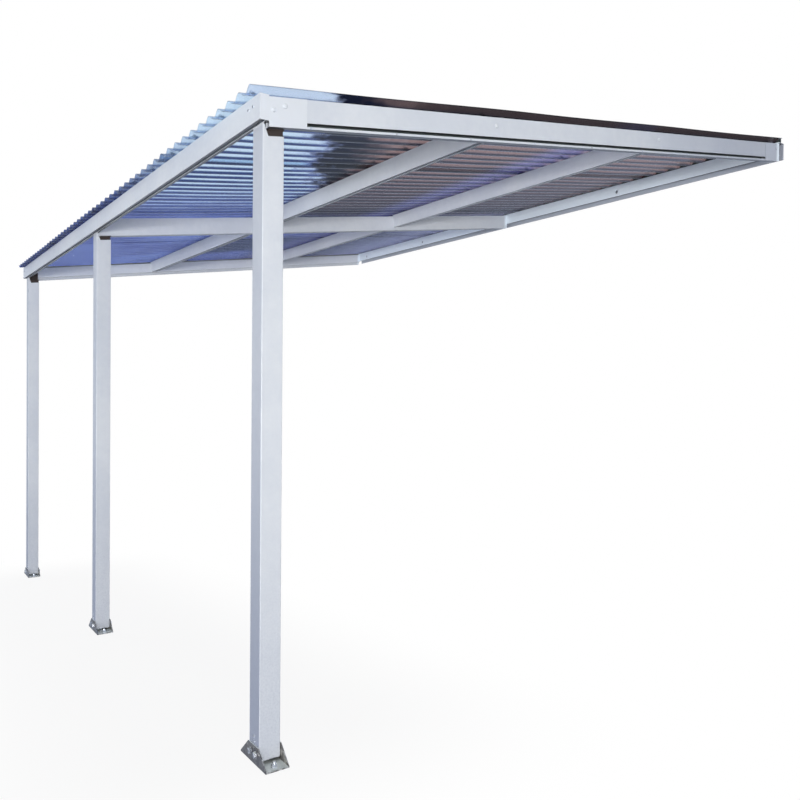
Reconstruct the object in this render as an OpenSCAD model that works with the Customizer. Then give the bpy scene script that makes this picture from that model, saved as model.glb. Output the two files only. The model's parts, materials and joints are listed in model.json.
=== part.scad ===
// Lean-to carport: a mono-pitch roof of clear corrugated sheets on a light aluminium frame.
// The high side is bolted to a wall, and three posts on ground brackets carry the low side.
// X runs along the wall, Y towards the wall and Z up. The origin is the middle of the wall
// beam's back face, so the ground lies below it. The ground falls from the right post to the
// left one, and each post is cut to reach its own foot.

/* [Roof] */
// Length of the frame along the wall, over the two end rafters
roof_len = 3800; // [3200:10:4400]
// Depth from the wall to the outer face of the eave beam
roof_depth = 2735; // [2300:5:3200]
// Fall of the roof from the wall to the eave, in degrees
roof_pitch = 8.25; // [6:0.05:10]
// Height of the rafters' top face above the right foot, at the eave
eave_h = 1870; // [1700:10:2400]
// Fall of the ground from the right post to the left one
ground_fall = 224; // [0:2:300]
// Middle rafter and post, measured from the right end of the frame
middle_at = 1900; // [1600:10:2100]

/* [Rafters] */
// Width of a rafter
rafter_w = 36; // [34:1:46]
// Height of a rafter, square to the roof
rafter_h = 83; // [80:1:110]
// Height of the closed box in the upper part of an end rafter
rafter_box_h = 66; // [58:1:68]
// Height of the lip under the groove of an end rafter
rafter_lip_h = 7; // [5:1:12]
// Depth of the groove, from the outer face of an end rafter to its inner side
groove_d = 20; // [14:1:24]
// Wall thickness of the rafters, purlins and beams
frame_wall = 2; // [1.6:0.1:3]
// Width of the lips turned in along the open underside of a channel
channel_lip = 7; // [5:1:8]

/* [Purlins] */
// Width of a purlin
purlin_w = 36; // [30:1:46]
// Height of a purlin, square to the roof
purlin_h = 72; // [62:1:84]
// Lower purlin, measured level from the eave beam's outer face to its middle
purlin_lower_at = 871; // [600:1:1000]
// Upper purlin, measured the same way
purlin_upper_at = 1763; // [1300:1:2000]
// Rise of the beams and purlins above the rafters, where the sheets rest
seat_rise = 8; // [6:1:12]

/* [Beams] */
// Width of the eave beam
eave_beam_w = 28; // [24:1:40]
// Height of the eave beam
eave_beam_h = 72; // [62:1:80]
// Depth of the wall beam, out from the wall
wall_beam_w = 45; // [40:1:56]
// Height of the wall beam's back, against the wall
wall_beam_h = 78; // [74:1:100]
// Height of the wall beam's front
wall_beam_front_h = 64; // [56:1:72]
// Diameter of the wall anchor holes
anchor_d = 9; // [7:0.5:13]
// Diameter of the holes in the front through which the anchors are tightened
access_d = 18; // [15:1:22]
// Distance from each end of the wall beam to its last anchor
anchor_edge = 150; // [100:5:200]

/* [Posts] */
// Side of the square posts
post_w = 66; // [56:1:76]
// Wall thickness of the posts
post_wall = 2; // [1.6:0.1:3]
// Outer corner radius of the posts
post_r = 3; // [2.5:0.5:5]
// Distance from the end of the frame to the side of an end post
post_inset = 18; // [12:1:60]
// Distance from the eave beam's outer face to the outer face of the posts
post_setback = 18; // [8:1:22]
// Shadow gap between a post's tube and the plate of its head
head_gap = 16; // [8:1:24]
// Shadow gap between a post's tube and the base plate of its foot
foot_gap = 9; // [5:1:16]
// Level part of the ear that a post's tube has under the eave beam
ear_w = 3; // [2.5:0.5:5]
// Distance behind the eave beam at which the slope of the ear ends
ear_foot = 7; // [5:0.5:8]

/* [Post heads] */
// Thickness of the bracket plates on the posts
head_plate = 4; // [3:0.5:6]
// Depth to which the bracket's tube enters the post
spigot_len = 110; // [80:5:200]
// Wall thickness of the bracket's tube
spigot_wall = 3; // [2:0.5:4]
// Height of the tongue that is bolted to a rafter
tongue_h = 50; // [40:1:60]
// Width of the tongue inside the middle rafter
tongue_w = 14; // [10:1:15]

/* [Feet] */
// Length of a foot along the eave
foot_len = 170; // [160:5:220]
// Thickness of the base plate
foot_base = 4; // [3:0.5:6]
// Thickness of the two cheeks
foot_cheek = 3; // [2:0.5:5]
// Height of the foot
foot_h = 52; // [42:1:76]
// Diameter of the ground anchor holes
foot_hole_d = 10; // [8:0.5:12]
// Distance between the two ground anchor holes of a foot
foot_hole_span = 126; // [110:2:136]

/* [End pieces] */
// Length of the plates at the corners of the end rafters
corner_len = 118; // [90:1:150]
// Thickness of the corner plates and of the eave beam's end caps
cover_t = 2; // [1.5:0.5:3]

/* [Roof sheets] */
// Width of one wave
wave_pitch = 76; // [70:1:80]
// Depth of the waves
wave_depth = 18; // [15:1:22]
// Thickness of the sheets
sheet_t = 1.2; // [1:0.1:2]
// Waves of one sheet that lie on the next
lap_waves = 1; // [1:1:2]
// Overhang of the sheets past the eave beam, measured level
sheet_over = 26; // [10:1:80]
// Gap between the sheets and the wall
sheet_wall_gap = 10; // [4:1:20]

/* [Hidden] */
$fn = 32;

frame_white = [0.86, 0.88, 0.91];
cover_white = [0.90, 0.91, 0.94];
zinc_grey = [0.58, 0.60, 0.63];
head_dark = [0.20, 0.18, 0.17];
sheet_blue = [0.52, 0.66, 0.90, 0.55];

seat_gap = 0.3;
over_cut = 1;
sheet_count = 4;
wave_steps = 14;

rise = tan(roof_pitch);
end_x = roof_len / 2;
middle_x = end_x - middle_at;
eave_y = -roof_depth;
rafter_eave_y = eave_y + eave_beam_w;
rafter_wall_y = -wall_beam_w;

// Height of the rafters' top face over any point of the plan
function roof_z(y) = wall_beam_h / 2 - seat_rise / cos(roof_pitch) + rise * (y - rafter_wall_y);

rafter_drop = rafter_h / cos(roof_pitch);

eave_beam_top = roof_z(eave_y) + seat_rise / cos(roof_pitch);
post_front = eave_y + post_setback;
post_y = post_front + post_w / 2;
post_x = [end_x - post_inset - post_w / 2, middle_x, -end_x + post_inset + post_w / 2];
head_y = rafter_eave_y + ear_foot + seat_gap;
post_back = post_front + post_w;
ear_top = eave_beam_top - eave_beam_h - seat_gap;

// Height of the upper face of the heads' plates, which lie along the rafters' undersides
function head_z(y) = roof_z(y) - rafter_drop - seat_gap;

// Height of the ground at a post
function ground_z(x) =
    roof_z(eave_y) - eave_h - ground_fall * (post_x[0] - x) / (post_x[0] - post_x[2]);

bay_right = (end_x - rafter_w + middle_x + rafter_w / 2) / 2;
bay_left = (-end_x + rafter_w + middle_x - rafter_w / 2) / 2;
anchor_x = [end_x - anchor_edge, bay_right, bay_left, -end_x + anchor_edge];

roof_waves = round(roof_len / wave_pitch);
sheet_waves = ceil((roof_waves + (sheet_count - 1) * lap_waves) / sheet_count);
sheet_step = sheet_waves - lap_waves;
sheet_eave_y = eave_y - sheet_over;

// Channel that is open below, with its lips turned in: the top's middle is the origin
module channel_profile(w, h, wall, lip) {
    difference() {
        translate([-w / 2, -h])
            square([w, h]);
        translate([-w / 2 + wall, -h + wall])
            square([w - 2 * wall, h - 2 * wall]);
        translate([-w / 2 + wall + lip, -h - over_cut])
            square([w - 2 * wall - 2 * lip, wall + 2 * over_cut]);
    }
}

// End rafter seen from the eave, with its outer face at x = 0 and the rafter at negative x:
// a closed box above, then a groove that opens outwards, over a flange with a lip
module end_rafter_profile() {
    difference() {
        translate([-rafter_w, -rafter_box_h])
            square([rafter_w, rafter_box_h]);
        translate([-rafter_w + frame_wall, -rafter_box_h + frame_wall])
            square([rafter_w - 2 * frame_wall, rafter_box_h - 2 * frame_wall]);
    }
    translate([-groove_d - frame_wall, -rafter_h])
        square([frame_wall, rafter_h - rafter_box_h]);
    translate([-groove_d - frame_wall, -rafter_h])
        square([groove_d + frame_wall, frame_wall]);
    translate([-frame_wall, -rafter_h])
        square([frame_wall, rafter_lip_h]);
}

// Wall beam seen from its left end, with the wall at x = 0
module wall_beam_profile() {
    top = wall_beam_h / 2;
    translate([-frame_wall, -top])
        square([frame_wall, wall_beam_h]);
    translate([-wall_beam_w, top - frame_wall])
        square([wall_beam_w, frame_wall]);
    translate([-wall_beam_w, top - wall_beam_front_h])
        square([frame_wall, wall_beam_front_h]);
    translate([-wall_beam_w, top - wall_beam_front_h])
        square([frame_wall + channel_lip, frame_wall]);
}

module round_square(w, r) {
    square([w - 2 * r, w], center = true);
    square([w, w - 2 * r], center = true);
    for (sx = [-1, 1], sy = [-1, 1])
        translate([sx * (w / 2 - r), sy * (w / 2 - r)])
            circle(r);
}

module square_tube(w, r, wall, h) {
    linear_extrude(height = h)
        difference() {
            round_square(w, r);
            round_square(w - 2 * wall, r - wall / 2);
        }
}

// Runs a profile up the slope and cuts its ends plumb, between two distances from the wall
module along_roof(from_y, to_y) {
    spare = rafter_h * rise + over_cut;
    run = (to_y - from_y) / cos(roof_pitch) + 2 * spare;
    intersection() {
        translate([0, to_y, roof_z(to_y)])
            rotate([roof_pitch, 0, 0])
                translate([0, spare, 0])
                    rotate([90, 0, 0])
                        linear_extrude(height = run)
                            children();
        translate([-roof_len, from_y, -eave_h])
            cube([2 * roof_len, to_y - from_y, 2 * eave_h]);
    }
}

// Runs a profile level along the roof, square to its slope, between two places along the wall
module across_roof(at_y, from_x, to_x) {
    translate([from_x, at_y, roof_z(at_y)])
        rotate([roof_pitch, 0, 0])
            rotate([90, 0, 90])
                linear_extrude(height = to_x - from_x)
                    children();
}

// Extrudes an outline seen from the right, drawn as depth and height, from x1 to x2
module side_on(x1, x2) {
    translate([x1, 0, 0])
        rotate([90, 0, 90])
            linear_extrude(height = x2 - x1)
                children();
}

// Strip parallel to the rafters, between two heights over the heads' plates
module slanted_strip(from_y, to_y, low, high) {
    polygon([
        [from_y, head_z(from_y) + low], [to_y, head_z(to_y) + low],
        [to_y, head_z(to_y) + high], [from_y, head_z(from_y) + high]
    ]);
}

// What is cut off the top of a post's tube to leave its ear
module ear_cut() {
    slope_y = rafter_eave_y + ear_foot;
    far_y = post_back + over_cut;
    tube_top = -head_plate - head_gap;
    polygon([
        [post_front + ear_w, ear_top + over_cut],
        [post_front + ear_w, ear_top],
        [slope_y, head_z(slope_y) + tube_top],
        [far_y, head_z(far_y) + tube_top],
        [far_y, ear_top + over_cut]
    ]);
}

module post(x) {
    bottom = ground_z(x) + foot_base + foot_gap;
    color(frame_white)
        difference() {
            translate([x, post_y, bottom])
                square_tube(post_w, post_r, post_wall, ear_top - bottom);
            side_on(x - post_w, x + post_w)
                ear_cut();
        }
}

// Galvanised U-bracket: a base plate with two anchor holes and two tapered cheeks
module foot(x) {
    across = post_w + 2 * (seat_gap + foot_cheek);
    shoulder = post_w / 2;
    color(zinc_grey)
        translate([x, post_y, ground_z(x)]) {
            difference() {
                translate([-foot_len / 2, -across / 2, 0])
                    cube([foot_len, across, foot_base]);
                for (side = [-1, 1])
                    translate([side * foot_hole_span / 2, 0, -over_cut])
                        cylinder(d = foot_hole_d, h = foot_base + 2 * over_cut);
            }
            for (side = [-1, 1])
                translate([0, side * (across - foot_cheek) / 2 + foot_cheek / 2, 0])
                    rotate([90, 0, 0])
                        linear_extrude(height = foot_cheek)
                            polygon([
                                [-foot_len / 2, 0], [foot_len / 2, 0],
                                [foot_len / 2, foot_base],
                                [shoulder, foot_h], [-shoulder, foot_h],
                                [-foot_len / 2, foot_base]
                            ]);
        }
}

// Tube that enters the post and ends inside a plate, under the tongue
module head_base(x) {
    spigot_w = post_w - 2 * post_wall - 2 * seat_gap;
    spigot_r = post_r - post_wall / 2;
    bottom = head_z(post_front) - head_plate - head_gap - spigot_len;
    difference() {
        translate([x, post_y, bottom])
            square_tube(spigot_w, spigot_r, spigot_wall, head_z(0) - bottom);
        side_on(x - post_w, x + post_w)
            slanted_strip(post_front, post_back, -head_plate / 2, head_z(0) - head_z(post_front) + over_cut);
    }
    side_on(x - post_w / 2, x + post_w / 2)
        slanted_strip(head_y, post_back, -head_plate, 0);
}

// Head of an end post: its plate lies under the rafter, and its tongue stands beside it
module end_head(side) {
    tongue_x = end_x - rafter_w - seat_gap;
    color(head_dark)
        mirror([side < 0 ? 1 : 0, 0, 0]) {
            head_base(post_x[0]);
            side_on(tongue_x - head_plate, tongue_x)
                slanted_strip(head_y, post_back, -head_plate, tongue_h);
        }
}

// Head of the middle post: its tongue stands inside the open rafter
module middle_head() {
    color(head_dark) {
        head_base(middle_x);
        side_on(middle_x - tongue_w / 2, middle_x + tongue_w / 2)
            slanted_strip(head_y, post_back, -head_plate, tongue_h);
    }
}

module eave_beam() {
    color(frame_white)
        translate([-end_x, eave_y + eave_beam_w / 2, eave_beam_top])
            rotate([90, 0, 90])
                linear_extrude(height = roof_len)
                    channel_profile(eave_beam_w, eave_beam_h, frame_wall, channel_lip);
}

module wall_beam() {
    color(frame_white)
        difference() {
            translate([-end_x, 0, 0])
                rotate([90, 0, 90])
                    linear_extrude(height = roof_len)
                        wall_beam_profile();
            for (x = anchor_x) {
                translate([x, over_cut, 0])
                    rotate([90, 0, 0])
                        cylinder(d = anchor_d, h = frame_wall + 2 * over_cut);
                translate([x, frame_wall + over_cut - wall_beam_w, 0])
                    rotate([90, 0, 0])
                        cylinder(d = access_d, h = frame_wall + 2 * over_cut);
            }
        }
}

module end_rafter(side) {
    color(frame_white)
        mirror([side < 0 ? 1 : 0, 0, 0])
            along_roof(rafter_eave_y, rafter_wall_y)
                translate([end_x, 0])
                    end_rafter_profile();
}

module rafter_middle() {
    color(frame_white)
        along_roof(rafter_eave_y, rafter_wall_y)
            translate([middle_x, 0])
                channel_profile(rafter_w, rafter_h, frame_wall, channel_lip);
}

module purlin(at, from_x, to_x) {
    color(frame_white)
        across_roof(eave_y + at, from_x, to_x)
            translate([0, seat_rise])
                channel_profile(purlin_w, purlin_h, frame_wall, channel_lip);
}

module purlin_right(at) {
    purlin(at, middle_x + rafter_w / 2, end_x - rafter_w);
}

module purlin_left(at) {
    purlin(at, -end_x + rafter_w, middle_x - rafter_w / 2);
}

// Plate over the corner of an end rafter, which closes its groove
module corner_plate(side, from_y) {
    color(cover_white)
        mirror([side < 0 ? 1 : 0, 0, 0])
            along_roof(from_y, from_y + corner_len)
                translate([end_x, -rafter_h])
                    square([cover_t, rafter_h]);
}

module eave_cap(side) {
    color(cover_white)
        mirror([side < 0 ? 1 : 0, 0, 0])
            translate([end_x, eave_y, eave_beam_top - eave_beam_h])
                cube([cover_t, eave_beam_w, eave_beam_h]);
}

// Height of a wave above its valley, with a crest on the sheet's edge
function wave(x) = wave_depth / 2 * (1 + cos(360 * x / wave_pitch));

module sheet_profile(waves) {
    last = waves * wave_steps;
    step = wave_pitch / wave_steps;
    polygon(concat(
        [for (i = [0 : last]) [i * step, wave(i * step)]],
        [for (i = [last : -1 : 0]) [i * step, wave(i * step) + sheet_t]]
    ));
}

// Sheets are counted from the left end, and the last one is cut to the waves that are left.
// Every second one lies on its neighbours' edges.
module roof_sheet(number) {
    first_wave = (number - 1) * sheet_step;
    waves = min(sheet_waves, roof_waves - first_wave);
    lift = number % 2 == 0 ? sheet_t + seat_gap : 0;
    run = (-sheet_wall_gap - sheet_eave_y) / cos(roof_pitch);
    color(sheet_blue)
        translate([
            (first_wave - roof_waves / 2) * wave_pitch, -sheet_wall_gap, roof_z(-sheet_wall_gap)
        ])
            rotate([roof_pitch, 0, 0])
                rotate([90, 0, 0])
                    linear_extrude(height = run)
                        translate([0, seat_rise + lift])
                            sheet_profile(waves);
}

post(post_x[0]);  // post_right
post(post_x[1]);  // post_middle
post(post_x[2]);  // post_left
foot(post_x[0]);  // foot_right
foot(post_x[1]);  // foot_middle
foot(post_x[2]);  // foot_left
end_head(1);  // head_right
middle_head();  // head_middle
end_head(-1);  // head_left
eave_beam();
wall_beam();
end_rafter(1);  // rafter_right
rafter_middle();
end_rafter(-1);  // rafter_left
purlin_right(purlin_lower_at);  // purlin_lower_right
purlin_right(purlin_upper_at);  // purlin_upper_right
purlin_left(purlin_lower_at);  // purlin_lower_left
purlin_left(purlin_upper_at);  // purlin_upper_left
corner_plate(1, rafter_eave_y);  // corner_plate_eave_right
corner_plate(1, rafter_wall_y - corner_len);  // corner_plate_wall_right
corner_plate(-1, rafter_eave_y);  // corner_plate_eave_left
corner_plate(-1, rafter_wall_y - corner_len);  // corner_plate_wall_left
eave_cap(1);  // eave_cap_right
eave_cap(-1);  // eave_cap_left
roof_sheet(1);  // roof_sheet_1
roof_sheet(2);  // roof_sheet_2
roof_sheet(3);  // roof_sheet_3
roof_sheet(4);  // roof_sheet_4
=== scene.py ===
# %% [markdown]
# # A lean-to carport
# The real one is a light aluminium frame under clear corrugated sheets. A wall carries its
# high side, and three slim posts carry its low side. The solids of the frame arrive from the
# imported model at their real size, in metres, so this file only adds what a photographer
# would see: coats and metals, the bolts and screws, smooth sheets, light and a camera.

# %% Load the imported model
import json
import math
import random

import bmesh
import bpy
from mathutils import Matrix, Quaternion, Vector


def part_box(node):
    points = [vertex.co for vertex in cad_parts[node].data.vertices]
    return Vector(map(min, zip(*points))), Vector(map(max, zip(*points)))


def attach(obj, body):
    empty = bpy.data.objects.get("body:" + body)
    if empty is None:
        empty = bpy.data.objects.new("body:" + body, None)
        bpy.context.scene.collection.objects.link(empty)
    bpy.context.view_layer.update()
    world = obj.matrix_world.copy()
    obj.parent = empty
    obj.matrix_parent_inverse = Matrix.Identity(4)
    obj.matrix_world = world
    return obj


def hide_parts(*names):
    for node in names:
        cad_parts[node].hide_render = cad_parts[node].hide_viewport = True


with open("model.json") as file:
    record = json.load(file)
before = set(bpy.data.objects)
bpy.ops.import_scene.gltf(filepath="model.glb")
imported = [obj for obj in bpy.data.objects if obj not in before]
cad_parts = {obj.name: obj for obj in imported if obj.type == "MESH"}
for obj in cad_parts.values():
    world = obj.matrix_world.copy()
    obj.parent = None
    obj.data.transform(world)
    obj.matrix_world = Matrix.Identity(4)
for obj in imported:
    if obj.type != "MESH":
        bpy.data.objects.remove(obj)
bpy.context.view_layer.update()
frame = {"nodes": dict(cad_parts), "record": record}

MM = 0.001

# %% [markdown]
# ## Where things are
# A bolt has to sit on the piece that it holds, so no place is typed in twice. Each node's
# box says where its faces are, and the roof's slope gives the rest. The roof plane used
# here is the top face of the rafters.

# %% Read the frame's own places
ROOF_PITCH = math.radians(8.25)
SEAT_RISE = 8 * MM

rafter_low, rafter_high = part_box("rafter_right")
post_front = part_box("post_right")[0].y
beam_low, beam_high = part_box("eave_beam")
wall_low, wall_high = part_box("wall_beam")
end_x = beam_high.x
rafter_w = rafter_high.x - rafter_low.x
feet = [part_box("foot_" + side) for side in ("right", "middle", "left")]
foot_xs = [(low.x + high.x) / 2 for low, high in feet]
foot_y = (feet[0][0].y + feet[0][1].y) / 2
ground_slope = (feet[0][0].z - feet[2][0].z) / (foot_xs[0] - foot_xs[2])
ground_middle = feet[0][0].z - ground_slope * foot_xs[0]
lower_purlin_y, upper_purlin_y = (
    sum(c.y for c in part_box(name)) / 2 for name in ("purlin_lower_right", "purlin_upper_right"))


def roof_z(y):
    return rafter_high.z + math.tan(ROOF_PITCH) * (y - rafter_high.y)


print("ground slope", round(ground_slope, 4))
print("purlins at", round(lower_purlin_y, 3), round(upper_purlin_y, 3))

# %% [markdown]
# ## The camera
# The photograph was taken from outside the near post, at a little over a metre, looking
# along the carport to the left. The edges of the roof run away to two points of the horizon,
# and their distance gives the lens. The camera was held by hand, so it dips and leans by
# about half a degree.

# %% Place the camera
CAMERA_PLACE = Vector((3.836, -3.622, -1.167))
CAMERA_TURN = math.radians(54.76)
CAMERA_RISE = math.radians(-0.716)
CAMERA_LEAN = math.radians(0.487)
FOCAL_PIXELS = 757.55
IMAGE_PIXELS = 800
SENSOR = 36.0

camera_data = bpy.data.cameras.new("camera")
camera_data.sensor_width = SENSOR
camera_data.lens = SENSOR * FOCAL_PIXELS / IMAGE_PIXELS
camera = bpy.data.objects.new("camera", camera_data)
bpy.context.scene.collection.objects.link(camera)
look = Vector((
    -math.sin(CAMERA_TURN) * math.cos(CAMERA_RISE),
    math.cos(CAMERA_TURN) * math.cos(CAMERA_RISE),
    math.sin(CAMERA_RISE),
))
camera.location = CAMERA_PLACE
camera.rotation_mode = "QUATERNION"
camera.rotation_quaternion = look.to_track_quat("-Z", "Y") @ Quaternion((0, 0, 1), CAMERA_LEAN)
bpy.context.scene.camera = camera
print("lens", round(camera_data.lens, 2), "mm")

# %% [markdown]
# ## Shader maths as Python
# A finish is a small network of nodes. Drawing each node by hand hides the idea, so one
# class wraps an output and lets plain arithmetic add the Math nodes, and another holds the
# material and makes every other node through one method.

# %% Wrap sockets and materials


def tint(red, green, blue):
    """A colour as a picture shows it, 0 to 255, turned into the linear one that shaders use."""
    def linear(value):
        share = value / 255
        return share / 12.92 if share <= 0.04045 else ((share + 0.055) / 1.055) ** 2.4
    return (linear(red), linear(green), linear(blue), 1.0)


class Field:
    """A value that changes over a surface, with the arithmetic that the finishes use."""

    def __init__(self, finish, socket):
        self.finish = finish
        self.socket = socket

    def math(self, operation, first, second):
        return self.finish.node("Math", {"operation": operation}, {0: first, 1: second})

    def __add__(self, other):
        return self.math("ADD", self, other)

    def __radd__(self, other):
        return self.math("ADD", other, self)

    def __sub__(self, other):
        return self.math("SUBTRACT", self, other)

    def __rsub__(self, other):
        return self.math("SUBTRACT", other, self)

    def __mul__(self, other):
        return self.math("MULTIPLY", self, other)

    def __rmul__(self, other):
        return self.math("MULTIPLY", other, self)


class Finish:
    """A material whose Principled shader is fed by fields."""

    def __init__(self, name, **fixed):
        self.material = bpy.data.materials.new(name)
        self.material.use_nodes = True
        self.nodes = self.material.node_tree.nodes
        self.links = self.material.node_tree.links
        self.shader = self.nodes["Principled BSDF"]
        for socket, value in fixed.items():
            self.shader.inputs[socket.replace("_", " ")].default_value = value
        place = self.node("TexCoord", output="Object")
        self.place = place
        self.x, self.y, self.z = (self.node("SeparateXYZ", {}, {0: place}, i) for i in range(3))

    def node(self, kind, settings=None, inputs=None, output=0):
        made = self.nodes.new("ShaderNode" + kind)
        for name, value in (settings or {}).items():
            setattr(made, name, value)
        for key, value in (inputs or {}).items():
            if isinstance(value, Field):
                self.links.new(value.socket, made.inputs[key])
            else:
                made.inputs[key].default_value = value
        return Field(self, made.outputs[output])

    def feed(self, socket, field):
        self.links.new(field.socket, self.shader.inputs[socket])

    def stretch(self, x, y, z):
        """The place on the surface with each axis scaled, so that a texture runs long one way."""
        return self.node("VectorMath", {"operation": "MULTIPLY"}, {0: self.place, 1: (x, y, z)})

    def noise(self, scale, detail=2.0, rough=0.5, along=None):
        vector = self.stretch(*along) if along else self.place
        return self.node("TexNoise", {}, {
            "Vector": vector, "Scale": scale, "Detail": detail, "Roughness": rough})

    def ease(self, field, low, high):
        """0 where the field is below low, 1 above high, and smooth between."""
        return self.node("MapRange", {"interpolation_type": "SMOOTHSTEP"}, {
            "Value": field, "From Min": low, "From Max": high})

    def mix(self, share, first, second):
        """One colour where share is 0 and the other where it is 1."""
        return self.node("Mix", {"data_type": "RGBA"}, {0: share, 6: first, 7: second}, 2)

    def facing(self):
        """How far the surface faces the wall (the front is -1), and how far it faces the sky."""
        normal = self.node("NewGeometry", output="Normal")
        return (self.node("SeparateXYZ", {}, {0: normal}, i) for i in (1, 2))

    def bump(self, height, strength, distance):
        self.feed("Normal", self.node("Bump", {}, {
            "Strength": strength, "Distance": distance, "Height": height}))


print("shader helpers ready")

# %% [markdown]
# ## The white coat
# Powder coat on an extrusion is never one white. It has a fine orange peel, a faint mottle and a
# cool cast. Low-contrast noise at several scales gives all of that without a stain that draws the
# eye. The photograph's light is painted in where a studio lacks it: toward the ground the coat
# darkens in speckles, as dust together with painted shade; the undersides, the fronts of the posts
# and the back of the wall beam's channel carry painted shade; the front of the beam on the wall
# carries a paler, bluer painted light; and the near rafter darkens toward the wall as painted
# shade.

# %% Make the coat of the frame and the one of the covers
COAT = tint(217, 220, 223)
COAT_COOL = tint(205, 209, 215)
COAT_DUST_AND_SHADE = tint(176, 180, 190)
COVER = tint(218, 222, 228)
COAT_SHADE = tint(128, 134, 152)
COAT_UNDER_SHADE = tint(50, 43, 40)
COAT_PAINTED_LIGHT = tint(238, 248, 255)
LOW_DARK_HEIGHT = 0.9
FRONT_HEIGHT = 1.3
WALL_LIGHT_SHARE = 0.9
RAFTER_SHADE_SHARE = 0.5
UNDER_SHADE_SHARE = 0.92


def coated(name, light, dark):
    coat = Finish(name, Roughness=0.38, Specular_IOR_Level=0.45)
    clouds = coat.noise(2.6, 3.0, 0.55)
    mottle = coat.noise(38.0, 2.0, 0.6)
    colour = coat.mix(coat.ease(clouds + 0.3 * mottle, 0.42, 0.86), light, dark)
    above_ground = coat.z - ground_slope * coat.x
    # Dust and painted shade: toward the ground the coat darkens in speckles and grows a little
    # rougher.
    near_ground = coat.ease(above_ground, ground_middle + LOW_DARK_HEIGHT, ground_middle)
    speckle = coat.ease(coat.noise(160.0, 4.0, 0.7), 0.35, 0.75)
    dust_and_shade = near_ground * (0.30 + 0.40 * speckle)
    to_wall, to_sky = coat.facing()
    below_beam = coat.ease(coat.z, beam_low.z, beam_low.z - 10 * MM)
    low_down = coat.ease(above_ground, ground_middle + FRONT_HEIGHT, ground_middle)
    front_shade = coat.ease(to_wall, -0.5, -1.0) * below_beam * (0.35 + 0.50 * low_down)
    colour = coat.mix(front_shade, coat.mix(dust_and_shade, colour, COAT_DUST_AND_SHADE), COAT_SHADE)
    # Painted light on the front of the wall beam, paler and bluer, and painted shade at the back of
    # its channel.
    at_wall = coat.ease(coat.y, wall_low.y - 30 * MM, wall_low.y - 10 * MM)
    in_channel = coat.ease(coat.y, wall_low.y + 10 * MM, wall_low.y + 20 * MM)
    colour = coat.mix(WALL_LIGHT_SHARE * at_wall, colour, coat.mix(in_channel, COAT_PAINTED_LIGHT, COAT_DUST_AND_SHADE))
    # Painted shade: the near rafter darkens toward the wall.
    near_rafter = coat.ease(coat.x, end_x - 30 * MM, end_x - 10 * MM) * (1 - at_wall)
    near_rafter = near_rafter * coat.ease(coat.y, -1.5, -0.3)
    colour = coat.mix(RAFTER_SHADE_SHARE * near_rafter, colour, COAT_SHADE)
    # Painted shade: faces that look down turn dark brown.
    colour = coat.mix(UNDER_SHADE_SHARE * coat.ease(to_sky, -0.8, -0.98), colour, COAT_UNDER_SHADE)
    coat.feed("Base Color", colour)
    coat.feed("Roughness", 0.30 + 0.18 * mottle + 0.15 * dust_and_shade)
    peel = coat.noise(900.0, 2.0, 0.5)
    coat.bump(peel + 0.5 * coat.noise(220.0), 0.12, 0.0004)
    return coat.material


frame_coat = coated("white_powder_coat", COAT, COAT_COOL)
cover_coat = coated("white_cover_coat", COVER, COAT)
print("coats made")

# %% [markdown]
# ## Hot-dip zinc
# The ground brackets aren't coated. Zinc freezes in flat crystals a centimetre across, each at its
# own grey and its own gloss, and weathers to a dull bloom. A smoothed Voronoi texture makes the
# crystals with soft borders. Painted shade, broken into patches, darkens the outer cheek that faces
# the front, and painted light keeps the upward faces bright.

# %% Make the zinc of the brackets and the bright zinc of bolts
ZINC_LIGHT = tint(192, 188, 180)
ZINC_DARK = tint(98, 94, 90)
ZINC_CHEEK_SHADE = tint(62, 56, 54)
ZINC_TOP_LIGHT = tint(246, 252, 248)
BLOOM = tint(152, 149, 144)


def zinc(name, light, dark, crystal, roughness):
    metal = Finish(name, Metallic=0.85, Roughness=roughness)
    cells = metal.node("TexVoronoi", {"feature": "SMOOTH_F1"}, {
        "Vector": metal.place, "Scale": 1 / crystal, "Smoothness": 0.25}, "Color")
    grey = metal.node("RGBToBW", {}, {0: cells})
    colour = metal.mix(metal.ease(grey, 0.15, 0.85), dark, light)
    bloom = metal.ease(metal.noise(26.0, 5.0, 0.65), 0.48, 0.72)
    to_wall, to_sky = metal.facing()
    # Painted shade in patches on the outer cheek of each foot, the one that faces the front.
    outer_half = metal.ease(metal.y, foot_y + 10 * MM, foot_y - 10 * MM)
    outer_cheek = metal.ease(to_wall, -0.5, -1.0) * outer_half
    cheek_shade = outer_cheek * metal.ease(metal.noise(40.0, 3.0, 0.6), 0.15, 0.45)
    # Painted light: faces that look up are pale and only a little metallic.
    top_light = metal.ease(to_sky, 0.8, 0.98)
    colour = metal.mix(0.95 * top_light, metal.mix(0.55 * bloom, colour, BLOOM), ZINC_TOP_LIGHT)
    metal.feed("Base Color", metal.mix(0.8 * cheek_shade, colour, ZINC_CHEEK_SHADE))
    metal.feed("Metallic", (0.75 - 0.45 * bloom) * (1 - 0.8 * top_light))
    metal.feed("Roughness", roughness + 0.16 * grey + 0.22 * bloom)
    metal.bump(grey + 0.4 * bloom, 0.10, 0.0006)
    return metal.material


galvanised = zinc("hot_dip_zinc", ZINC_LIGHT, ZINC_DARK, 11 * MM, 0.30)
bright_zinc = zinc("bright_zinc", tint(222, 224, 228), tint(186, 190, 196), 3 * MM, 0.24)
print("zinc made")
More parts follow.
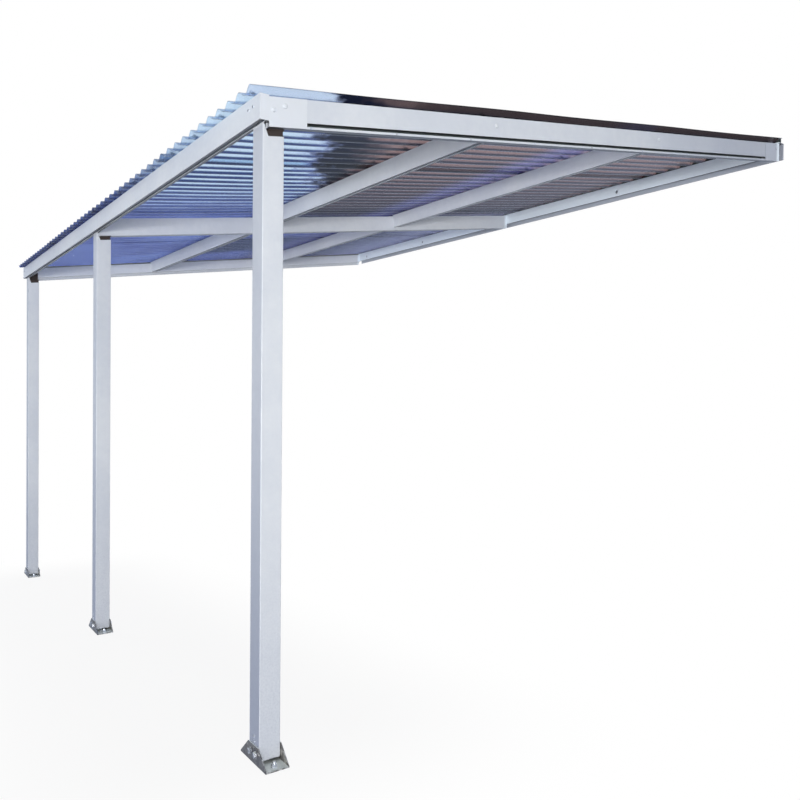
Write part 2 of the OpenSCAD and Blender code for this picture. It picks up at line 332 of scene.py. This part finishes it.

# %% [markdown]
# ## Clear sheets
# A clear sheet shows what lies behind it and mirrors what lies around it, and a studio has only
# white there. The photograph had sky and trees, so the sheet reads blue over the eave, smoky with
# brown stripes further in, and violet beside the upper purlin. Those colours are painted into the
# finish as zones of the roof: painted light and painted reflection, not a tint of the plastic. The
# finish lets light through. The stripes follow the waves, because each flank of a wave bends the
# light its own way, and they are painted highlights.

# %% Make the sheet's finish
SHEET_BLUE = tint(142, 156, 214)
SHEET_LIGHT_BLUE = tint(172, 190, 238)
SHEET_DEEP_BLUE = tint(70, 102, 166)
SHEET_PALE = tint(208, 232, 254)
SHEET_WEDGE = tint(20, 26, 48)
SHEET_SMOKE = tint(94, 90, 106)
SHEET_BROWN = tint(152, 130, 132)
SHEET_VIOLET = tint(138, 140, 194)
SHEET_NAVY = tint(92, 104, 148)
SHEET_DUSK = tint(104, 110, 142)
SHEET_MAUVE = tint(176, 180, 210)
SHEET_EDGE = tint(204, 222, 246)
SHEET_DARK_EDGE = tint(42, 38, 44)
SHEET_RIM = tint(62, 84, 150)
WAVE_PITCH = 76 * MM
STREAKS_PER_M = 1 / WAVE_PITCH
FLANK_SHIFT = 0.15 * WAVE_PITCH
ZONE_BLUR = 0.05
WEDGE_LINE = -1.55
PLASTIC_IOR = 1.49


def sheet_finish():
    sheet = Finish("clear_corrugated_plastic", Roughness=0.14, IOR=PLASTIC_IOR,
                   Transmission_Weight=0.9, Specular_IOR_Level=0.22)
    x, y = sheet.x, sheet.y
    right_bay = sheet.ease(x, -0.3, 0.3)
    far_right = sheet.ease(x, 0.3, 1.4)
    inward = sheet.ease(y, lower_purlin_y - ZONE_BLUR, lower_purlin_y + ZONE_BLUR)
    wallward = sheet.ease(y, upper_purlin_y - ZONE_BLUR, upper_purlin_y + ZONE_BLUR)

    wide = sheet.noise(STREAKS_PER_M * 0.40, 2.0, 0.5, along=(1.0, 0.10, 0.10))
    ripple = sheet.noise(STREAKS_PER_M * 2.4, 2.0, 0.6, along=(1.0, 0.35, 0.35))
    fine = sheet.noise(STREAKS_PER_M * 1.5, 3.0, 0.6, along=(1.0, 0.06, 0.06))
    cloud = sheet.noise(1.7, 3.0, 0.55)
    # Painted highlights: the stripes make one flank of each wave lighter and the other darker.
    wave_angle = (x + FLANK_SHIFT) * (math.tau / WAVE_PITCH)
    flank = sheet.node("Math", {"operation": "COSINE"}, {0: wave_angle})
    flank_highlight = sheet.ease(0.5 * flank + 0.8 * fine, 0.50, 0.80)

    # Painted light and painted reflection: a bright zone of pale and deep blue streaks over the
    # eave, then a dark wedge and smoky brown stripes, navy and violet between the purlins, and dusk
    # to mauve by the wall.
    slant = y + 0.5 * x + 0.22 * (wide - 0.5) + 0.30 * (ripple - 0.5)
    lit = sheet.ease(x, -0.2, 0.9) * sheet.ease(slant, WEDGE_LINE + 0.03, WEDGE_LINE - 0.12)
    beyond = sheet.ease(x, 0.3, 0.8) * sheet.ease(slant, WEDGE_LINE - 0.06, WEDGE_LINE + 0.04)
    smoke_share = sheet.ease(slant, WEDGE_LINE + 0.10, WEDGE_LINE + 0.34)

    eave = sheet.mix(sheet.ease(cloud, 0.35, 0.65), SHEET_BLUE, SHEET_LIGHT_BLUE)
    eave = sheet.mix(lit, eave, sheet.mix(flank_highlight, SHEET_DEEP_BLUE, SHEET_PALE))
    smoky = sheet.mix(flank_highlight * (0.35 + 0.65 * far_right), SHEET_SMOKE, SHEET_BROWN)
    eave = sheet.mix(beyond, eave, sheet.mix(smoke_share, SHEET_WEDGE, smoky))
    navy = sheet.mix(sheet.ease(cloud, 0.4, 0.7), SHEET_NAVY, SHEET_BLUE)
    between = sheet.mix(right_bay, navy, smoky)
    violet_band = sheet.ease(y, upper_purlin_y - 0.30, upper_purlin_y - 0.12)
    between = sheet.mix(0.8 * violet_band, between, SHEET_VIOLET)
    dusk = sheet.mix(sheet.ease(y, upper_purlin_y + 0.2, -0.15), SHEET_DUSK, SHEET_MAUVE)
    by_wall = sheet.mix(right_bay, dusk, smoky)
    colour = sheet.mix(inward, eave, sheet.mix(wallward, between, by_wall))
    # Painted light and shade on the sheet's edges: over the eave beam it runs from dark blue to
    # pale, its near edge is pale, and that edge turns dark toward the wall.
    rim = sheet.ease(y, beam_high.y, beam_low.y)
    near_edge = sheet.ease(x, end_x - 0.10, end_x - 0.04) * (1 - beyond)
    colour = sheet.mix(0.9 * rim, colour, sheet.mix(sheet.ease(x, 0.4, 1.7), SHEET_RIM, SHEET_PALE))
    colour = sheet.mix(near_edge, colour, SHEET_EDGE)
    far_edge = sheet.ease(x, end_x - 0.06, end_x - 0.02) * sheet.ease(slant, -1.5, -1.1)
    colour = sheet.mix(0.9 * far_edge, colour, SHEET_DARK_EDGE)
    sheet.feed("Base Color", colour)
    sheet.feed("Roughness", 0.10 + 0.12 * fine)
    sheet.bump(fine + 0.3 * sheet.noise(300.0), 0.10, 0.0008)
    return sheet.material


clear_sheet = sheet_finish()
print("sheet finish made")

# %% [markdown]
# ## Rubber, painted shade and white caps
# Under each roof screw sits a soft washer that keeps rain out. The end rafters have a dark strip in
# their groove and the brackets on the posts are dark, both as painted shade, so that the groove and
# the gap under the roof stay dark. All three are dull and need only a little grain.

# %% Make the washers, the dark rubber and the painted shade of the post heads
washer = Finish("weather_washer", Roughness=0.55, Specular_IOR_Level=0.4)
washer_grain = washer.noise(500.0, 3.0, 0.6)
washer.feed("Base Color", washer.mix(washer_grain, tint(226, 232, 236), tint(196, 204, 210)))
washer.bump(washer_grain, 0.1, 0.0003)
washer_white = washer.material

rubber = Finish("dark_rubber_and_groove_shade", Roughness=0.7, Specular_IOR_Level=0.3)
rubber_grain = rubber.noise(300.0, 3.0, 0.6)
rubber.feed("Base Color", rubber.mix(rubber_grain, tint(44, 50, 50), tint(70, 78, 76)))
rubber.feed("Roughness", 0.55 + 0.3 * rubber_grain)
rubber.bump(rubber_grain, 0.15, 0.0003)
dark_rubber_and_groove_shade = rubber.material

# Painted shade: the brackets on the post heads are dark, so that the gap under the roof stays dark.
head_shade = Finish("head_painted_shade", Roughness=0.6, Specular_IOR_Level=0.3)
head_shade_cloud = head_shade.noise(60.0, 4.0, 0.6)
head_shade.feed("Base Color", head_shade.mix(head_shade_cloud, tint(34, 28, 26), tint(72, 60, 54)))
head_shade.feed("Roughness", 0.5 + 0.3 * head_shade_cloud)
head_shade.bump(head_shade_cloud, 0.15, 0.0004)
head_shade_finish = head_shade.material
print("washers, rubber and primer made")

# %% [markdown]
# ## Dress the solids
# Each node keeps its shape and takes a finish in all its slots. The record names the slot
# of every node, so a table of slot to finish is enough.

# %% Give every node its finish
FINISH_OF_SLOT = {
    "frame_white": frame_coat,
    "cover_white": cover_coat,
    "galvanised": galvanised,
    "head_dark": head_shade_finish,
    "clear_sheet": clear_sheet,
}
slot_of_node = {row["node"]: row["material_slot"] for row in frame["record"]["subparts"]}
for name, node in frame["nodes"].items():
    node.data.materials.clear()
    node.data.materials.append(FINISH_OF_SLOT[slot_of_node[name]])
print(len(frame["nodes"]), "nodes dressed")

# %% [markdown]
# ## Turned shapes
# Bolt heads, washers and screws are all bodies of revolution or prisms. One function turns
# a profile of radius and height round an axis. With six sides it makes a hexagon, so the
# same code serves both.

# %% Turn profiles into meshes


def stand(place, axis, spin=0.0):
    """A transform that puts a small part's foot at place, with its Z along axis."""
    turn = Vector(axis).to_track_quat("Z", "Y").to_matrix().to_4x4()
    return Matrix.Translation(place) @ turn @ Matrix.Rotation(spin, 4, "Z")


def revolve(mesh, profile, transform, sides=20):
    """Adds the body that the profile's (radius, height) points draw round Z."""
    rings = []
    for radius, height in profile:
        steps = sides if radius > 0 else 1
        angles = [math.tau * i / sides for i in range(steps)]
        rings.append([
            mesh.verts.new(transform @ Vector((radius * math.cos(a), radius * math.sin(a), height)))
            for a in angles
        ])
    for lower, upper in zip(rings, rings[1:]):
        for i in range(sides):
            corners = [
                lower[i % len(lower)], lower[(i + 1) % len(lower)],
                upper[(i + 1) % len(upper)], upper[i % len(upper)],
            ]
            corners = list(dict.fromkeys(corners))
            if len(corners) > 2:
                mesh.faces.new(corners)


def add_piece(name, mesh, material, sharp=35):
    """Turns a bmesh into an object that rides on the frame."""
    bmesh.ops.recalc_face_normals(mesh, faces=mesh.faces)
    data = bpy.data.meshes.new(name)
    mesh.to_mesh(data)
    mesh.free()
    data.shade_smooth()
    data.set_sharp_from_angle(angle=math.radians(sharp))
    data.materials.append(material)
    piece = bpy.data.objects.new(name, data)
    bpy.context.scene.collection.objects.link(piece)
    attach(piece, "root")
    print(name, len(data.polygons), "faces")
    return piece


# %% [markdown]
# ## The sheets
# A solid from CAD has flat facets along its waves, and facets glitter in a glossy plastic.
# The sheets are built again here as smooth waves, closed all round, a little slack between
# the purlins and never quite even from wave to wave, which is what breaks up their
# highlights. Each stays inside the box of the solid that it stands for.

# %% Build the waves of the four sheets
WAVE_DEPTH = 18 * MM
SHEET_THICK = 1.2 * MM
SHEET_COUNT = 4
LIFT = 1.5 * MM
STEPS_PER_WAVE = 20
ROWS = 30
SAG = 2.0 * MM
UNEVEN = 0.35 * MM
SHEET_NAMES = ["roof_sheet_%d" % (i + 1) for i in range(SHEET_COUNT)]
SHEET_OVER = 26 * MM
SWELL_RATE = 7
sheets_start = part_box("roof_sheet_1")[0].x
sheet_wall_y = -10 * MM
slope_length = (sheet_wall_y - beam_low.y + SHEET_OVER) / math.cos(ROOF_PITCH)
roof_turn = (Matrix.Translation((0, sheet_wall_y, roof_z(sheet_wall_y)))
             @ Matrix.Rotation(ROOF_PITCH, 4, "X"))
supports = [(y - sheet_wall_y) / -math.cos(ROOF_PITCH) for y in
            (wall_low.y / 2, upper_purlin_y, lower_purlin_y, (beam_low.y + beam_high.y) / 2)]


def crest(x):
    """Height of a wave above its valley. A crest lies on the sheet's edge."""
    return WAVE_DEPTH / 2 * (1 + math.cos(math.tau * (x - sheets_start) / WAVE_PITCH))


def slack(down):
    """How far the sheet hangs between two supports, at a distance down the slope."""
    for upper, lower in zip(supports, supports[1:]):
        if upper < down < lower:
            return SAG * math.sin(math.pi * (down - upper) / (lower - upper)) ** 2
    return 0.0


def build_sheet(number):
    name = SHEET_NAMES[number]
    low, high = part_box(name)
    chance = random.Random(number)
    waves = round((high.x - low.x) / WAVE_PITCH)
    columns = waves * STEPS_PER_WAVE
    lift = LIFT if number % 2 else 0.0
    offsets = [chance.uniform(-UNEVEN, 0) for _ in range(waves + 1)]
    mesh = bmesh.new()
    grids = []
    for thick in (0.0, SHEET_THICK):
        grid = []
        for row in range(ROWS + 1):
            down = slope_length * row / ROWS
            line = []
            for column in range(columns + 1):
                x = low.x + (high.x - low.x) * column / columns
                swell = math.sin(SWELL_RATE * down + column) ** 2
                dip = offsets[round(column / STEPS_PER_WAVE)] * swell
                height = SEAT_RISE + lift + crest(x) + thick + dip - slack(down)
                line.append(mesh.verts.new(roof_turn @ Vector((x, -down, height))))
            grid.append(line)
        grids.append(grid)
    under, over = grids
    for grid in grids:
        for near_line, far_line in zip(grid, grid[1:]):
            for i in range(columns):
                mesh.faces.new((near_line[i], near_line[i + 1], far_line[i + 1], far_line[i]))
    for first, second in ((under[0], over[0]), (under[-1], over[-1])):
        for i in range(columns):
            mesh.faces.new((first[i], first[i + 1], second[i + 1], second[i]))
    for i in range(ROWS):
        for column in (0, columns):
            mesh.faces.new((
                under[i][column], under[i + 1][column], over[i + 1][column], over[i][column]))
    piece = add_piece("clear_" + name, mesh, clear_sheet, sharp=60)
    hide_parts(name)


for number in range(SHEET_COUNT):
    build_sheet(number)

# %% [markdown]
# ## Roof screws
# Each line of screws goes through every third crest into the beam or purlin below. A screw
# is a hexagon head on a pale dished cap that hugs the crest.

# %% Screw the sheets down
SCREW_EVERY = 3
CAP_PROFILE = [(0, 0), (11.5 * MM, 0), (12 * MM, 0.8 * MM), (11 * MM, 2.2 * MM),
               (8 * MM, 3.6 * MM), (0, 4 * MM)]
HEAD_PROFILE = [(0, 3 * MM), (6.5 * MM, 3 * MM), (6.5 * MM, 4.4 * MM), (4.6 * MM, 4.6 * MM),
                (4.6 * MM, 8.6 * MM), (3.9 * MM, 9.2 * MM), (0, 9.2 * MM)]
CAP_SINK = 0.5 * MM
waves_in_all = round((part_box(SHEET_NAMES[-1])[1].x - sheets_start) / WAVE_PITCH)


def screw_on_sheet(caps, heads, x, down, height, spin):
    transform = roof_turn @ Matrix.Translation((x, -down, height)) @ Matrix.Rotation(spin, 4, "Z")
    revolve(caps, CAP_PROFILE, transform)
    revolve(heads, HEAD_PROFILE, transform, sides=6)


def top_height(x):
    """Top of the uppermost sheet over a place along the wall, above the rafters' plane."""
    lifted = any(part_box(n)[0].x <= x <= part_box(n)[1].x for n in SHEET_NAMES[1::2])
    return SEAT_RISE + crest(x) + SHEET_THICK + (LIFT if lifted else 0.0)


chance = random.Random(5)
caps, heads = bmesh.new(), bmesh.new()
for down in supports:
    for wave in range(1, waves_in_all, SCREW_EVERY):
        x = sheets_start + wave * WAVE_PITCH
        screw_on_sheet(caps, heads, x, down, top_height(x) - CAP_SINK, chance.uniform(0, 1))
add_piece("roof_screw_caps", caps, washer_white)
add_piece("roof_screw_heads", heads, bright_zinc)

# %% [markdown]
# ## Bolts in the frame
# The corner plates are held by low domed bolts, the purlins by one more through the outer
# face of each end rafter, and the groove strip by small pan heads about a foot apart. Those
# are placed by their distance below the roof plane, as a fitter would measure. Pan heads also
# show on the eave beam near its ends, and low on the front of each post.

# %% Drive the domed bolts and the pan screws
DOME = [(0, 0), (7.5 * MM, 0), (7.5 * MM, 0.8 * MM), (6.6 * MM, 2.2 * MM), (4.6 * MM, 3.2 * MM),
        (2.6 * MM, 3.4 * MM), (2.2 * MM, 2.2 * MM), (0, 2.0 * MM)]
PAN = [(0, 0), (4.2 * MM, 0), (4.2 * MM, 1.2 * MM), (3.4 * MM, 2.3 * MM),
       (1.6 * MM, 2.6 * MM), (0, 2.2 * MM)]
plate_low, plate_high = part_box("corner_plate_eave_right")
plate_thick = plate_high.x - end_x
RAFTER_HEIGHT = 83 * MM
LIP_HEIGHT = 7 * MM
EAVE_BOLTS = [(14 * MM, 35 * MM), (49 * MM, 23 * MM)]
WALL_BOLT = (26 * MM, 24 * MM)
PURLIN_BOLT_DROP = 28 * MM
STRIP_STEP = 300 * MM
STRIP_FIRST = 132 * MM
EAVE_SCREWS = [(43 * MM, 18 * MM), (74 * MM, 20 * MM)]
POST_SCREWS = [60 * MM, 76 * MM]


def on_rafter(side, y, drop, proud=0.0):
    """A place on the outer face of an end rafter, at a drop below its top, square to it."""
    z = roof_z(y) - drop / math.cos(ROOF_PITCH)
    return Vector((side * (end_x + proud), y, z))


domes, pans = bmesh.new(), bmesh.new()
for side in (1, -1):
    outward = (side, 0, 0)
    for back, drop in EAVE_BOLTS:
        place = on_rafter(side, rafter_low.y + back, drop, plate_thick)
        revolve(domes, DOME, stand(place, outward))
    place = on_rafter(side, rafter_high.y - WALL_BOLT[0], WALL_BOLT[1], plate_thick)
    revolve(domes, DOME, stand(place, outward))
    for y in (lower_purlin_y, upper_purlin_y):
        revolve(domes, DOME, stand(on_rafter(side, y, PURLIN_BOLT_DROP), outward))
    y = rafter_low.y + STRIP_FIRST
    while y < rafter_high.y - STRIP_FIRST:
        revolve(pans, PAN, stand(on_rafter(side, y, RAFTER_HEIGHT - LIP_HEIGHT / 2), outward))
        y += STRIP_STEP
    for along, drop in EAVE_SCREWS:
        place = Vector((side * (end_x - along), beam_low.y, roof_z(beam_low.y) - drop))
        revolve(pans, PAN, stand(place, (0, -1, 0)))
for x, (foot_low, foot_high) in zip(foot_xs, feet):
    for up in POST_SCREWS:
        revolve(pans, PAN, stand(Vector((x, post_front, foot_low.z + up)), (0, -1, 0)))
add_piece("domed_bolts", domes, cover_coat)
add_piece("strip_screws", pans, bright_zinc)

# %% [markdown]
# ## Strips
# A dark strip lines each end rafter's groove between its corner plates, as painted shade in the
# groove, and a flat seal lies on its inner top edge, under the sheet's last valley. Along the wall
# a foam strip fills the waves over the beam, so that no light shows between beam and sheets. Its
# lower edge is straight and its upper edge follows the waves.

# %% Lay the dark strips of painted shade in the grooves, the seals and the foam
GROOVE_DEPTH = 20 * MM
GROOVE_TOP = 66 * MM
STRIP_THICK = 2 * MM
CORNER_LEN = plate_high.y - plate_low.y
STRIP_CLEAR = 0.3 * MM
LIP_THICK = 2 * MM
SEAL_WIDTH = 7 * MM
SEAL_STEPS = 60
SEAL_FROM = -12 * MM
FOAM_THICK = 8 * MM
FOAM_Y = -24 * MM


def closed_strip(mesh, inner, outer):
    """A solid between two equal rows of (bottom, top) pairs of points."""
    rows = [[(mesh.verts.new(low), mesh.verts.new(high)) for low, high in row]
            for row in (inner, outer)]
    (back, front), last = rows, len(inner) - 1
    for i in range(last):
        for row in rows:
            mesh.faces.new((row[i][0], row[i + 1][0], row[i + 1][1], row[i][1]))
        for end in (0, 1):
            mesh.faces.new((back[i][end], back[i + 1][end], front[i + 1][end], front[i][end]))
    for i in (0, last):
        mesh.faces.new((back[i][0], back[i][1], front[i][1], front[i][0]))


# Painted shade: a dark strip lines each end rafter's groove.
strips = bmesh.new()
for side in (1, -1):
    from_y, to_y = rafter_low.y + CORNER_LEN, rafter_high.y - CORNER_LEN
    rows = []
    for inward in (GROOVE_DEPTH - 0.2 * MM, GROOVE_DEPTH - STRIP_THICK):
        rows.append([
            (on_rafter(side, y, RAFTER_HEIGHT - LIP_THICK - STRIP_CLEAR, -inward),
             on_rafter(side, y, GROOVE_TOP + STRIP_CLEAR, -inward))
            for y in (from_y, to_y)
        ])
    closed_strip(strips, *rows)
add_piece("groove_shade_strips", strips, dark_rubber_and_groove_shade)

seals = bmesh.new()
seal_run = rafter_low.y - rafter_high.y - 2 * SEAL_FROM
for side in (1, -1):
    rows = []
    for inward in (rafter_w, rafter_w - SEAL_WIDTH):
        row = []
        for i in range(SEAL_STEPS + 1):
            y = rafter_high.y + SEAL_FROM + seal_run * i / SEAL_STEPS
            gap = SEAT_RISE - slack((sheet_wall_y - y) / math.cos(ROOF_PITCH)) - STRIP_CLEAR
            row.append((on_rafter(side, y, -0.1 * MM, -inward), on_rafter(side, y, -gap, -inward)))
        rows.append(row)
    closed_strip(seals, *rows)
add_piece("side_seals", seals, dark_rubber_and_groove_shade)

foam = bmesh.new()
foam_rows = []
for y in (FOAM_Y, FOAM_Y - FOAM_THICK):
    down = (sheet_wall_y - y) / math.cos(ROOF_PITCH)
    row = []
    for i in range(waves_in_all * STEPS_PER_WAVE + 1):
        x = sheets_start + i * WAVE_PITCH / STEPS_PER_WAVE
        top = roof_turn @ Vector((x, -down, SEAT_RISE + crest(x) - STRIP_CLEAR))
        top_z = max(top.z, wall_high.z + 0.4 * MM)
        row.append((Vector((x, y, wall_high.z + 0.1 * MM)), Vector((x, y, top_z))))
    foam_rows.append(row)
closed_strip(foam, *foam_rows)
add_piece("wave_foam", foam, dark_rubber_and_groove_shade)

# %% [markdown]
# ## Bolts in the feet
# Two hexagon bolts cross each foot's cheeks and the post, and two anchors hold its base
# plate to the ground. A washer under each head spreads the load, and the stud's end shows
# above its nut.

# %% Bolt the feet
HEX_RADIUS = 8.5 * MM
HEX = [(0, 0), (HEX_RADIUS, 0), (HEX_RADIUS, 5.2 * MM), (7.4 * MM, 6.4 * MM), (0, 6.4 * MM)]
FLAT_WASHER = [(0, 0), (10 * MM, 0), (10 * MM, 1.5 * MM), (9.6 * MM, 1.8 * MM), (0, 1.8 * MM)]
STUD = [(0, 0), (4.8 * MM, 0), (4.8 * MM, 13 * MM), (4.0 * MM, 14.5 * MM), (0, 14.5 * MM)]
CHEEK_BOLT_X = 17 * MM
CHEEK_BOLT_Z = 29 * MM
ANCHOR_X = 63 * MM
BASE_PLATE = 4 * MM


def hex_bolt(mesh, place, axis, spin, stud=False):
    transform = stand(place, axis, spin)
    revolve(mesh, FLAT_WASHER, transform)
    lifted = transform @ Matrix.Translation((0, 0, FLAT_WASHER[-1][1]))
    revolve(mesh, HEX, lifted, sides=6)
    if stud:
        revolve(mesh, STUD, transform, sides=16)


bolts = bmesh.new()
for x, (foot_low, foot_high) in zip(foot_xs, feet):
    for way in (-1, 1):
        for across, face_y in ((-1, foot_low.y), (1, foot_high.y)):
            place = Vector((x + way * CHEEK_BOLT_X, face_y, foot_low.z + CHEEK_BOLT_Z))
            hex_bolt(bolts, place, (0, across, 0), chance.uniform(0, 1))
        anchor = Vector((x + way * ANCHOR_X, foot_y, foot_low.z + BASE_PLATE))
        hex_bolt(bolts, anchor, (0, 0, 1), chance.uniform(0, 1), stud=True)
add_piece("foot_bolts", bolts, bright_zinc)

# %% [markdown]
# ## The studio
# The photograph is cut out on white, so the picture needs a white ground and soft light
# without a hard shadow. White comes from what the camera sees of the floor and the sky,
# and never from more light on the carport. The floor falls with the feet. The light that it
# throws back is dimmer and cooler than white, as from open ground under a roof, and a gloss
# mirrors a cool sky.

# %% Lay the floor
FLOOR_SIDE = 60.0
WHITE = (1.0, 1.0, 1.0, 1.0)
SHADOW_SHARE = 0.10
FLOOR_DROP = 6 * MM
GLOSS_COLOUR = (0.68, 0.79, 1.0, 1.0)
BOUNCE_COLOUR = (0.52, 0.56, 0.66, 1.0)
FLOOR_COLOUR = (0.80, 0.80, 0.82, 1.0)
SHADOW_MIDDLE_Y = -2.7
SHADOW_FADE_X = (1.6, 2.6)
SHADOW_FADE_Y = (0.2, 1.2)


def any_ray(node, *kinds):
    """1 for rays of one of the kinds, else 0."""
    paths = [node("LightPath", {}, {}, "Is %s Ray" % kind) for kind in kinds]
    share = paths[0]
    for path in paths[1:]:
        share = node("Math", {"operation": "MAXIMUM"}, {0: share, 1: path})
    return share


def floor_shader():
    ground = Finish("pale_floor", Roughness=0.9, Specular_IOR_Level=0.0)
    ground.shader.inputs["Base Color"].default_value = FLOOR_COLOUR
    pale = Field(ground, ground.shader.outputs[0])
    white = ground.node("Emission", {}, {"Color": WHITE, "Strength": 1.0})
    cool = ground.node("Emission", {}, {"Color": GLOSS_COLOUR, "Strength": 1.0})
    bounce = ground.node("BsdfDiffuse", {}, {"Color": BOUNCE_COLOUR})
    shadow = SHADOW_SHARE
    for along, fade in ((ground.x, SHADOW_FADE_X), (ground.y - SHADOW_MIDDLE_Y, SHADOW_FADE_Y)):
        away = ground.node("Math", {"operation": "ABSOLUTE"}, {0: along})
        shadow = shadow * (1 - ground.ease(away, *fade))
    look = ground.node("MixShader", {}, {0: 1 - shadow, 1: pale, 2: white})
    unseen = ground.node("MixShader", {}, {0: any_ray(ground.node, "Glossy"), 1: bounce, 2: cool})
    mixed = ground.node("MixShader", {}, {
        0: any_ray(ground.node, "Camera", "Transmission"), 1: unseen, 2: look})
    ground.links.new(mixed.socket, ground.nodes["Material Output"].inputs["Surface"])
    return ground.material


half = FLOOR_SIDE / 2
floor_mesh = bmesh.new()
floor_mesh.faces.new([
    floor_mesh.verts.new((x, y, ground_middle + ground_slope * x - FLOOR_DROP)) for x, y in
    ((-half, -half), (half, -half), (half, half), (-half, half))
])
floor_data = bpy.data.meshes.new("floor")
floor_mesh.to_mesh(floor_data)
floor_mesh.free()
floor_data.materials.append(floor_shader())
floor = bpy.data.objects.new("floor", floor_data)
bpy.context.scene.collection.objects.link(floor)
print("floor laid, falling", round(ground_slope * 1000), "mm in a metre")

# %% [markdown]
# ## Lamps
# Two lamps stand low and far out, one in front and one to the right, so that their light
# passes under the eave and reaches the purlins and the beam on the wall. Three more fill the
# sides that face away, and they leave no highlight in the clear sheets.

# %% Light the scene
WORLD_LEVEL = 0.30
WORLD_COLOUR = (0.96, 0.98, 1.0, 1.0)
LAMPS = {
    "low_lamp": ((2.0, -9.0, -1.9), (7.0, 0.6), 258.0),
    "side_lamp": ((10.0, -5.0, -1.4), (5.0, 0.5), 545.0),
    "back_lamp": ((-1.0, 10.0, -1.0), (7.0, 1.2), 330.0),
    "left_lamp": ((-10.0, 0.5, -1.2), (4.0, 1.2), 400.0),
    "top_lamp": ((-6.0, -4.0, 5.0), (4.0, 4.0), 140.0),
}
FILL_LAMPS = ("back_lamp", "left_lamp", "top_lamp")
TARGET = Vector((0.0, -1.8, -0.8))

world = bpy.data.worlds.new("studio")
bpy.context.scene.world = world
world.use_nodes = True
world_nodes, world_links = world.node_tree.nodes, world.node_tree.links
world_nodes.clear()


def world_node(kind, settings, inputs, output=0):
    made = world_nodes.new("ShaderNode" + kind)
    for name, value in settings.items():
        setattr(made, name, value)
    for key, value in inputs.items():
        if hasattr(value, "is_output"):
            world_links.new(value, made.inputs[key])
        else:
            made.inputs[key].default_value = value
    return made.outputs[output]


ambient = world_node("Background", {}, {"Color": WORLD_COLOUR, "Strength": WORLD_LEVEL})
white_sky = world_node("Background", {}, {"Color": WHITE, "Strength": 1.0})
cool_sky = world_node("Background", {}, {"Color": GLOSS_COLOUR, "Strength": 1.0})
unseen_sky = world_node("MixShader", {}, {
    0: any_ray(world_node, "Glossy"), 1: ambient, 2: cool_sky})
sky = world_node("MixShader", {}, {
    0: any_ray(world_node, "Camera", "Transmission"), 1: unseen_sky, 2: white_sky})
output = world_nodes.new("ShaderNodeOutputWorld")
world_links.new(sky, output.inputs["Surface"])

for name, (place, (width, height), power) in LAMPS.items():
    lamp = bpy.data.lights.new(name, "AREA")
    lamp.shape = "RECTANGLE"
    lamp.size = width
    lamp.size_y = height
    lamp.energy = power
    holder = bpy.data.objects.new(name, lamp)
    bpy.context.scene.collection.objects.link(holder)
    holder.location = place
    holder.rotation_mode = "QUATERNION"
    holder.rotation_quaternion = (TARGET - Vector(place)).to_track_quat("-Z", "Y")
    if name in FILL_LAMPS:
        holder.visible_glossy = False
        holder.visible_transmission = False
bpy.context.scene.view_settings.view_transform = "Standard"
print(len(LAMPS), "lamps hung")
